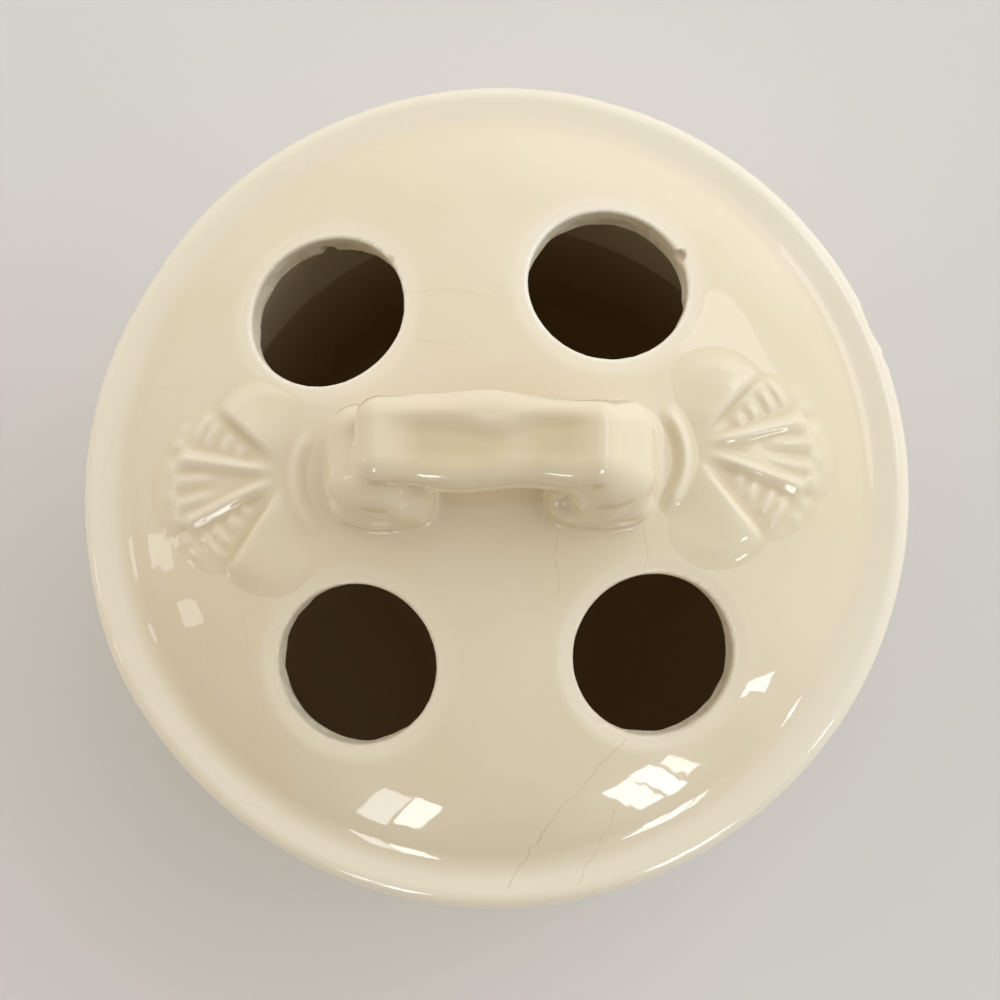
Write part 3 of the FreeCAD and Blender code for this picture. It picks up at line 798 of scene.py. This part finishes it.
def make_jar():
    shoulder = SEAT_HEIGHT - MOUTH_ROUND
    lean, climb = SIDE_RADIUS - MOUTH_RADIUS, shoulder - HEEL_HEIGHT
    spread, heel = SIDE_RADIUS - FOOT_RADIUS, HEEL_HEIGHT - FOOT_HEIGHT
    heel_round = HEEL_HEIGHT - FLOOR_TOP
    outline = [(AXIS_GAP, FOOT_RECESS), (FOOT_BORE - FOOT_COVE, FOOT_RECESS)]
    outline += arc((FOOT_BORE + FOOT_ROUND, FOOT_ROUND), FOOT_ROUND, 180, 270, FOOT_STEPS)
    outline += arc((FOOT_RADIUS - FOOT_ROUND, FOOT_ROUND), FOOT_ROUND, -90, 0, FOOT_STEPS)
    outline += bowed((FOOT_RADIUS, FOOT_HEIGHT), (SIDE_RADIUS, HEEL_HEIGHT),
                     (spread ** 2 + heel ** 2) / (2 * spread), HEEL_STEPS)
    outline += bowed((SIDE_RADIUS, HEEL_HEIGHT), (MOUTH_RADIUS, shoulder),
                     (lean ** 2 + climb ** 2) / (2 * lean), WALL_STEPS)[1:]
    outline += arc((MOUTH_RADIUS - MOUTH_ROUND, shoulder), MOUTH_ROUND, 0, 90, MOUTH_STEPS)[1:]
    outline += arc((MOUTH_BORE + MOUTH_ROUND, shoulder), MOUTH_ROUND, 90, 180, MOUTH_STEPS)
    inner = len(outline)
    for share in np.linspace(0, 1, WALL_STEPS)[1:]:
        outline.append((MOUTH_BORE + (SIDE_BORE - MOUTH_BORE) * share, shoulder - climb * share))
    outline += arc((SIDE_BORE - heel_round, HEEL_HEIGHT), heel_round, 0, -90, CORNER_STEPS)[1:]
    outline += [(r, FLOOR_TOP) for r in np.linspace(SIDE_BORE - heel_round, AXIS_GAP, FLOOR_STEPS)[1:]]
    heights = np.array([z for _, z in outline])
    order = np.arange(len(outline))
    # the inside is darker towards the bottom
    stained = DARKENING_TOP_SHARE + DARKENING_GROWTH * smooth_step(*DARKENING_HEIGHTS, heights)
    stain = np.where(order > inner, stained, 0.0)
    bare = np.where((order < inner) & (heights < FOOT_ROUND + BARE_MARGIN), 1.0, 0.0)
    heel_pool = np.where(order < inner, bump(heights, FOOT_HEIGHT, HEEL_POOL_WIDTH), 0.0)
    seated = [(r, z - SEAT_HEIGHT) for r, z in outline]
    return lathe("glazed_jar", seated, JAR_WOBBLE, stain=stain, wall=bare, hollow=heel_pool)


# Collar: sizes of its outline, with the depth below the seat.
COLLAR_BOTTOM, _ = bottom_and_top("lid_collar")
COLLAR_DEPTH = SEAT_HEIGHT - COLLAR_BOTTOM
COLLAR_BORE, COLLAR_ROUND = 39.4, 1.0
COLLAR_ARC_STEPS, COLLAR_WALL_STEPS = 6, 12
COLLAR_WOBBLE = 0.0015
# Share of the darker tone on the collar's inside.
COLLAR_DARKENING = 0.25


def make_collar():
    top_out = DOME_CENTRE + math.sqrt(UNDER_RADIUS ** 2 - COLLAR_RADIUS ** 2)
    top_in = DOME_CENTRE + math.sqrt(UNDER_RADIUS ** 2 - COLLAR_BORE ** 2)
    low = COLLAR_ROUND - COLLAR_DEPTH
    outline = arc((COLLAR_BORE + COLLAR_ROUND, low), COLLAR_ROUND, 180, 270, COLLAR_ARC_STEPS)
    outline += arc((COLLAR_RADIUS - COLLAR_ROUND, low), COLLAR_ROUND, 270, 360, COLLAR_ARC_STEPS)
    outline += [(COLLAR_RADIUS, z) for z in np.linspace(low, top_out, COLLAR_WALL_STEPS)[1:]]
    outline += [(COLLAR_BORE, z) for z in np.linspace(top_in, low, COLLAR_WALL_STEPS)[:-1]]
    inside = np.array([float(r < COLLAR_BORE + COLLAR_ROUND) for r, _ in outline])
    return lathe("fitted_collar", outline, COLLAR_WOBBLE, closed=True, stain=COLLAR_DARKENING * inside)


# Colours, as they look.

def colour(red, green, blue):
    """A colour given as it looks on a screen, in the linear form that shaders take."""
    parts = [c / 255 for c in (red, green, blue)]
    return tuple(p / 12.92 if p < 0.04045 else ((p + 0.055) / 1.055) ** 2.4 for p in parts) + (1.0,)


CREAM = colour(226, 212, 182)
WARM_CREAM = colour(222, 206, 171)
# Pooled glaze, also painted shade in hollows.
POOLED_AND_SHADED = colour(204, 186, 143)
# Thin glaze on edges, also a painted highlight on edges and in the painted halo.
THIN_GLAZE_AND_HIGHLIGHT = colour(240, 231, 210)
# Painted highlight: the glint on the hole lips.
PAINTED_LIP_GLINT = colour(247, 242, 228)
BARE_CLAY = colour(214, 203, 178)
CHIPPED = colour(206, 190, 160)
# Darker tone inside the jar and collar, growing towards the bottom.
INNER_DARK_TONE = colour(198, 172, 128)
CRACK = colour(176, 156, 124)
FLOOR_GREY = colour(214, 210, 203)
FLOOR_PALE = colour(218, 214, 208)

# Tones laid over the cream: mask, share and colour.
LAYERS = [
    # pooled glaze, partly painted shade in hollows
    ("hollow", 0.75, POOLED_AND_SHADED),
    # thin glaze, partly a painted highlight on edges
    ("edge", 0.45, THIN_GLAZE_AND_HIGHLIGHT),
    # painted highlight: halo round the holes and along the brim
    ("painted_halo", 0.6, THIN_GLAZE_AND_HIGHLIGHT),
    # painted highlight: glint on the hole lips
    ("lip_glint", 0.85, PAINTED_LIP_GLINT),
]
# Patterns in the glaze and clay: repeats in a metre, and the values between which each one fades in.
CLOUD_SCALE, CLOUD_DETAIL, CLOUD_RANGE = 28.0, 4.0, (0.35, 0.7)
CRAZE_SCALE, CRAZE_RANGE, CRAZE_SHARE = 150.0, (0.03, 0.0), 0.05
PATCH_SCALE, PATCH_RANGE = 19.0, (0.45, 0.65)
SPECK_SCALE, SPECK_RANGE, SPECK_RARITY, SPECK_SHARE = 110.0, (0.045, 0.02), (0.93, 0.95), 0.6
GRIT_SCALE, GRIT_DETAIL, GRIT_RANGE = 900.0, 4.0, (0.3, 0.75)
COAT_SCALE, COAT_STRENGTH, COAT_RELIEF = 190.0, 0.05, 1.0
GRIT_STRENGTH, GRIT_RELIEF = 0.4, 0.4
FLOOR_SCALE, FLOOR_DETAIL = 6.0, 3.0
# Shine of the glaze, and of what is bare or darkened inside.
GLAZE_ROUGHNESS, DULL_ROUGHNESS, COAT_ROUGHNESS, GLAZE_SPECULAR = 0.35, 0.45, 0.035, 0.25
DULL_DARKENING = (0.1, 0.4)
FLOOR_ROUGHNESS = 0.8

# Hairline cracks in the lid's glaze: runs of points in the plan, then their strength.
CRACKS = [
    ([(16.2, -31.0), (12.0, -36.0), (7.5, -41.0), (2.0, -49.5)], 0.40),
    ([(15.3, -39.8), (13.5, -44.0), (10.8, -49.2)], 0.30),
    ([(-11.8, 22.6), (-6.0, 23.0), (1.0, 21.9)], 0.18),
    ([(-9.0, 16.6), (-2.6, 16.4)], 0.15),
    ([(8.1, -6.3), (8.2, -13.5)], 0.28),
    ([(18.9, -6.6), (18.4, -10.4)], 0.22),
]
CRACK_WIDTH = 0.13
WAVER, WAVER_SCALE, WAVER_DETAIL, WAVER_MIDDLE = 2.2, 260.0, 3.0, (0.5, 0.5, 0.5)
IN_PLAN = (1.0, 1.0, 0.0)


# Materials.

def new_material(name):
    material = bpy.data.materials.new(name)
    material.use_nodes = True
    tree = material.node_tree
    return material, tree, tree.nodes["Principled BSDF"]


def node(tree, kind, inputs=None, **settings):
    """A shader node with its settings, and values or links for its inputs."""
    made = tree.nodes.new(kind)
    for key, setting in settings.items():
        setattr(made, key, setting)
    for key, source in (inputs or {}).items():
        if isinstance(source, bpy.types.NodeSocket):
            tree.links.new(source, made.inputs[key])
        else:
            made.inputs[key].default_value = source
    return made


def maths(tree, operation, a, b=0.0, c=0.0, clamp=False):
    return node(tree, "ShaderNodeMath", {0: a, 1: b, 2: c}, operation=operation, use_clamp=clamp).outputs[0]


def vectors(tree, operation, a, b, result="Vector"):
    return node(tree, "ShaderNodeVectorMath", {0: a, 1: b}, operation=operation).outputs[result]


def scaled(tree, vector, size):
    return node(tree, "ShaderNodeVectorMath", {0: vector, "Scale": size}, operation="SCALE").outputs[0]


def mixed(tree, share, a, b):
    """One colour laid over another."""
    made = node(tree, "ShaderNodeMix", {0: share, 6: a, 7: b}, data_type="RGBA")
    return made.outputs[2]


def mask(tree, label):
    return node(tree, "ShaderNodeAttribute", attribute_name=label).outputs["Fac"]


def noise(tree, point, scale, detail=2.0, result="Fac"):
    inputs = {"Vector": point, "Scale": scale, "Detail": detail}
    return node(tree, "ShaderNodeTexNoise", inputs).outputs[result]


def cell_pattern(tree, point, scale, feature="F1"):
    return node(tree, "ShaderNodeTexVoronoi", {"Vector": point, "Scale": scale}, feature=feature).outputs


def ramp(tree, source, low, high):
    """0 below one value, 1 above the other."""
    made = node(tree, "ShaderNodeMapRange", {0: source, 1: low, 2: high}, interpolation_type="SMOOTHSTEP")
    return made.outputs[0]


def bumped(tree, height, strength, relief):
    inputs = {"Height": height, "Strength": strength, "Distance": relief * MM}
    return node(tree, "ShaderNodeBump", inputs).outputs[0]


def segment_group():
    """Node group: how close a point is to a straight run between two points, 1 on it and 0 off it."""
    group = bpy.data.node_groups.new("hairline", "ShaderNodeTree")
    for label in ("Point", "Start", "Stop"):
        group.interface.new_socket(label, in_out="INPUT", socket_type="NodeSocketVector")
    group.interface.new_socket("Width", in_out="INPUT", socket_type="NodeSocketFloat")
    group.interface.new_socket("Line", in_out="OUTPUT", socket_type="NodeSocketFloat")
    given = group.nodes.new("NodeGroupInput").outputs
    away = vectors(group, "SUBTRACT", given["Point"], given["Start"])
    run = vectors(group, "SUBTRACT", given["Stop"], given["Start"])
    covered = vectors(group, "DOT_PRODUCT", away, run, "Value")
    whole = vectors(group, "DOT_PRODUCT", run, run, "Value")
    nearest = scaled(group, run, maths(group, "DIVIDE", covered, whole, clamp=True))
    distance = vectors(group, "DISTANCE", away, nearest, "Value")
    line = node(group, "ShaderNodeMapRange", {0: distance, 1: given["Width"], 2: 0.0}).outputs[0]
    group.links.new(line, group.nodes.new("NodeGroupOutput").inputs[0])
    return group


def crack_mask(tree, point):
    """All hairlines of the lid, 0 to 1, wavering a little."""
    group = segment_group()
    waver = noise(tree, point, WAVER_SCALE, WAVER_DETAIL, "Color")
    waver = scaled(tree, vectors(tree, "SUBTRACT", waver, WAVER_MIDDLE), WAVER * MM)
    flat = vectors(tree, "MULTIPLY", vectors(tree, "ADD", point, waver), IN_PLAN)
    total = 0.0
    for run, strength in CRACKS:
        placed = [(x * MM, y * MM, 0) for x, y in run]
        for start, stop in zip(placed, placed[1:]):
            ends = {"Point": flat, "Start": start, "Stop": stop, "Width": CRACK_WIDTH * MM}
            line = node(tree, "ShaderNodeGroup", ends, node_tree=group).outputs[0]
            total = maths(tree, "MAXIMUM", total, maths(tree, "MULTIPLY", line, strength))
    return total


def glaze_tone(tree, point, cracked):
    """Cream, pooled and yellower in hollows with painted shade there, thin and paler on edges with a
    painted highlight there, painted highlights round the holes and on their lips, and fine crazing and
    specks.
    """
    cloud = noise(tree, point, CLOUD_SCALE, CLOUD_DETAIL)
    tone = mixed(tree, ramp(tree, cloud, *CLOUD_RANGE), CREAM, WARM_CREAM)
    for label, share, over in LAYERS:
        tone = mixed(tree, maths(tree, "MULTIPLY", mask(tree, label), share), tone, over)
    cells = cell_pattern(tree, point, CRAZE_SCALE, "DISTANCE_TO_EDGE")
    craze = maths(tree, "MULTIPLY", ramp(tree, cells["Distance"], *CRAZE_RANGE), CRAZE_SHARE)
    patch = ramp(tree, noise(tree, point, PATCH_SCALE), *PATCH_RANGE)
    tone = mixed(tree, maths(tree, "MULTIPLY", craze, patch), tone, CRACK)
    specks = cell_pattern(tree, point, SPECK_SCALE)
    chance = node(tree, "ShaderNodeSeparateColor", {0: specks["Color"]}).outputs[0]
    speck = ramp(tree, specks["Distance"], *SPECK_RANGE)
    speck = maths(tree, "MULTIPLY", speck, ramp(tree, chance, *SPECK_RARITY))
    tone = mixed(tree, maths(tree, "MULTIPLY", speck, SPECK_SHARE), tone, CRACK)
    if cracked:
        tone = mixed(tree, crack_mask(tree, point), tone, CRACK)
    return tone


def glaze(name, cracked=False):
    """Cream glaze over pale clay, darker and dull inside the jar and collar, and bare where it is cut or
    chipped.
    """
    material, tree, shader = new_material(name)
    point = node(tree, "ShaderNodeTexCoord").outputs["Object"]
    stain = mask(tree, "stain")
    tone = mixed(tree, stain, glaze_tone(tree, point, cracked), INNER_DARK_TONE)
    grit = noise(tree, point, GRIT_SCALE, GRIT_DETAIL)
    clay = mixed(tree, ramp(tree, grit, *GRIT_RANGE), BARE_CLAY, CHIPPED)
    bare = maths(tree, "MAXIMUM", mask(tree, "wall"), mask(tree, "chip"))
    dull = maths(tree, "MAXIMUM", bare, ramp(tree, stain, *DULL_DARKENING))
    coat_relief = noise(tree, point, COAT_SCALE)
    clay_relief = maths(tree, "MULTIPLY", grit, bare)
    linked = {
        "Base Color": mixed(tree, bare, tone, clay),
        "Roughness": maths(tree, "MULTIPLY_ADD", dull, DULL_ROUGHNESS, GLAZE_ROUGHNESS),
        "Coat Weight": maths(tree, "SUBTRACT", 1.0, dull, clamp=True),
        "Coat Normal": bumped(tree, coat_relief, COAT_STRENGTH, COAT_RELIEF),
        "Normal": bumped(tree, clay_relief, GRIT_STRENGTH, GRIT_RELIEF),
    }
    for label, source in linked.items():
        tree.links.new(source, shader.inputs[label])
    shader.inputs["Coat Roughness"].default_value = COAT_ROUGHNESS
    shader.inputs["Specular IOR Level"].default_value = GLAZE_SPECULAR
    return material


def dress(piece, node_name, body, material):
    """Give a piece its glaze and put it in the place of its CAD node."""
    piece.data.materials.append(material)
    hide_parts(node_name)
    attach(piece, body)


# Studio: pale floor, soft light from all round that is dimmer overhead, and windows. Lengths are in metres.
FLOOR_HALF = 12.0
# Window panes: direction from the lid, height above the horizon, lean, width, height, and how bright.
PANES = [
    (-114.0, 27.0, -10.0, 0.085, 0.28, 1.3),
    (-107.0, 28.0, -10.0, 0.075, 0.24, 2.3),
    (-63.5, 27.0, 14.0, 0.070, 0.26, 2.3),
    (-58.0, 28.0, 14.0, 0.070, 0.30, 2.5),
    (-53.0, 29.0, 14.0, 0.045, 0.22, 2.0),
    (-31.0, 30.0, 20.0, 0.060, 0.15, 2.2),
    (32.0, 43.0, 0.0, 0.460, 0.26, 0.35),
    (-178.0, 17.0, 0.0, 0.090, 0.20, 0.5),
    (-167.0, 25.0, 0.0, 0.055, 0.16, 0.6),
]
PANE_DISTANCE = 0.9
PANE_GLOW = 15.0
PANE_TINT = (0.93, 0.97, 1.0)
# Soft light: from the front, the back and overhead, and how it passes from one to the next.
FRONT_LIGHT, BACK_LIGHT = (0.66, 0.58, 0.45, 1), (1.16, 1.14, 1.15, 1)
OVERHEAD_LIGHT = (0.05, 0.045, 0.04, 1)
FRONT_TO_BACK, SIDE_TO_OVERHEAD = (-0.7, 0.2), (0.40, 0.95)
LIGHT_STRENGTH = 0.82
# Soft glows from the sides: direction, share and colour, and how each one fades out.
GLOWS = [
    ((0.88, 0.44, 0.18), 0.95, (2.90, 3.06, 3.34, 1)),
    ((-0.94, 0.28, 0.18), 0.55, (2.50, 2.40, 2.24, 1)),
]
GLOW_FADE = (0.2, 0.95)
BACKGROUND = (0.76, 0.74, 0.71, 1)


def make_floor():
    mesh = bpy.data.meshes.new("floor")
    corners = [(x * FLOOR_HALF, y * FLOOR_HALF, 0) for x, y in ((-1, -1), (1, -1), (1, 1), (-1, 1))]
    mesh.from_pydata(corners, [], [tuple(range(len(corners)))])
    floor = bpy.data.objects.new("floor", mesh)
    bpy.context.collection.objects.link(floor)
    material, tree, shader = new_material("pale_floor")
    point = node(tree, "ShaderNodeTexCoord").outputs["Object"]
    tone = mixed(tree, noise(tree, point, FLOOR_SCALE, FLOOR_DETAIL), FLOOR_GREY, FLOOR_PALE)
    tree.links.new(tone, shader.inputs["Base Color"])
    shader.inputs["Roughness"].default_value = FLOOR_ROUGHNESS
    mesh.materials.append(material)


def turned(degrees, axis):
    return Matrix.Rotation(math.radians(degrees), 4, axis)


def make_windows():
    middle = Matrix.Translation((0, 0, (SEAT_HEIGHT + LIP_THICKNESS) * MM))
    away = Matrix.Translation((0, 0, PANE_DISTANCE))
    for number, (azimuth, height, lean, width, tall, bright) in enumerate(PANES):
        lamp = bpy.data.lights.new(f"pane_{number}", "AREA")
        lamp.shape = "RECTANGLE"
        lamp.size, lamp.size_y = width, tall
        lamp.energy = PANE_GLOW * bright * width * tall
        lamp.color = PANE_TINT
        pane = bpy.data.objects.new(f"pane_{number}", lamp)
        bpy.context.collection.objects.link(pane)
        pane.visible_diffuse = False
        aim = turned(azimuth + QUARTER, "Z") @ turned(QUARTER - height, "X")
        pane.matrix_world = middle @ aim @ away @ turned(lean, "Z")


def make_world():
    world = bpy.data.worlds.new("studio")
    bpy.context.scene.world = world
    world.use_nodes = True
    tree = world.node_tree
    tree.nodes.clear()
    way = node(tree, "ShaderNodeTexCoord").outputs["Generated"]
    parts = node(tree, "ShaderNodeSeparateXYZ", {0: way}).outputs
    around = mixed(tree, ramp(tree, parts["Y"], *FRONT_TO_BACK), FRONT_LIGHT, BACK_LIGHT)
    soft = mixed(tree, ramp(tree, parts["Z"], *SIDE_TO_OVERHEAD), around, OVERHEAD_LIGHT)
    for towards, share, glow in GLOWS:
        near = ramp(tree, vectors(tree, "DOT_PRODUCT", way, towards, "Value"), *GLOW_FADE)
        soft = mixed(tree, maths(tree, "MULTIPLY", near, share), soft, glow)
    light = node(tree, "ShaderNodeBackground", {"Color": soft, "Strength": LIGHT_STRENGTH})
    pale = node(tree, "ShaderNodeBackground", {"Color": BACKGROUND})
    ray = node(tree, "ShaderNodeLightPath").outputs
    seen = maths(tree, "MAXIMUM", ray["Is Camera Ray"], ray["Is Glossy Ray"])
    seen = maths(tree, "MAXIMUM", seen, ray["Is Transmission Ray"])
    both = node(tree, "ShaderNodeMixShader", {0: seen, 1: light.outputs[0], 2: pale.outputs[0]})
    out = node(tree, "ShaderNodeOutputWorld")
    tree.links.new(both.outputs[0], out.inputs["Surface"])


# Camera: above the lid and a little to the front, close enough for plain perspective.
CAMERA_PLACE = (7.72, -27.19, 179.64)
CAMERA_PITCH, CAMERA_ROLL = 2.73, 2.19
SENSOR_WIDTH = 36.0
LENS_SHARE = 1.4
LENS_SHIFT_SHARE = 0.14
NEAREST_SEEN = 10.0


def make_camera():
    lens = bpy.data.cameras.new("camera")
    lens.sensor_width = SENSOR_WIDTH
    lens.lens = SENSOR_WIDTH * LENS_SHARE
    lens.shift_y = LENS_SHIFT_SHARE
    lens.clip_start = NEAREST_SEEN * MM
    camera = bpy.data.objects.new("camera", lens)
    bpy.context.collection.objects.link(camera)
    x, y, z = CAMERA_PLACE
    place = Matrix.Translation((x * MM, y * MM, (z + SEAT_HEIGHT) * MM))
    camera.matrix_world = place @ turned(CAMERA_ROLL, "Y") @ turned(CAMERA_PITCH, "X")
    bpy.context.scene.camera = camera


lid_glaze = glaze("cream_glaze_lid", cracked=True)
jar_glaze = glaze("cream_glaze_jar")
dress(make_lid(), "lid_cover", "lid", lid_glaze)
dress(make_handle(), "strap_handle", "lid", lid_glaze)
for shell_name in SHELLS:
    dress(make_shell(shell_name), shell_name, "lid", lid_glaze)
dress(make_collar(), "lid_collar", "lid", lid_glaze)
dress(make_jar(), "jar", "jar", jar_glaze)

make_floor()
make_windows()
make_world()
make_camera()
bpy.context.scene.view_settings.view_transform = "Standard"
bpy.context.view_layer.update()
